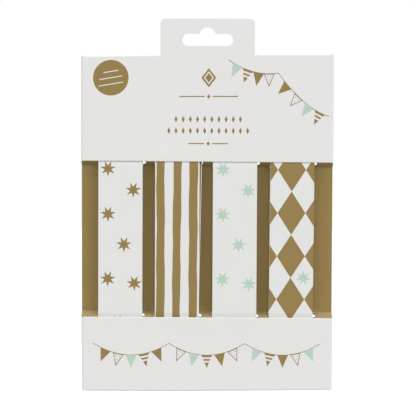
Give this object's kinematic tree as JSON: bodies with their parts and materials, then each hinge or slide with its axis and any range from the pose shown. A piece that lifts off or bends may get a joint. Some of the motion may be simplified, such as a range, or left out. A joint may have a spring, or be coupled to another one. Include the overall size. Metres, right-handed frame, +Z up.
{
  "type": "paper chain strip pack",
  "caption": "Flat card pack on a hang tab, with a header, a sunk window and a footer, holding side-by-side stacks of printed paper strips for making paper chains.",
  "frame": {"origin": "top of the hang hole, in the middle of the hang tab's width, at the carton's front face: where a display peg bears", "axes": "+Z up towards the hang tab, -Y out of the printed front, +X to the right as seen from the front"},
  "size_m": [0.159, 0.0069, 0.2355],
  "materials": {
    "carton_card": "uncoated white card, printed gold in the sunk middle",
    "gold_star_paper": "uncoated white paper printed with small gold stars",
    "wavy_stripe_paper": "uncoated white paper printed with wavy gold stripes",
    "mint_star_paper": "uncoated white paper printed with small mint stars",
    "diamond_paper": "uncoated white paper printed with gold diamonds"
  },
  "bodies": {
    "root": {"carton": "carton_card", "gold_star_front_strip": "gold_star_paper", "gold_star_strip_pile": "gold_star_paper", "wavy_stripe_front_strip": "wavy_stripe_paper", "wavy_stripe_strip_pile": "wavy_stripe_paper", "mint_star_front_strip": "mint_star_paper", "mint_star_strip_pile": "mint_star_paper", "diamond_front_strip": "diamond_paper", "diamond_strip_pile": "diamond_paper"}
  },
  "joints": []
}
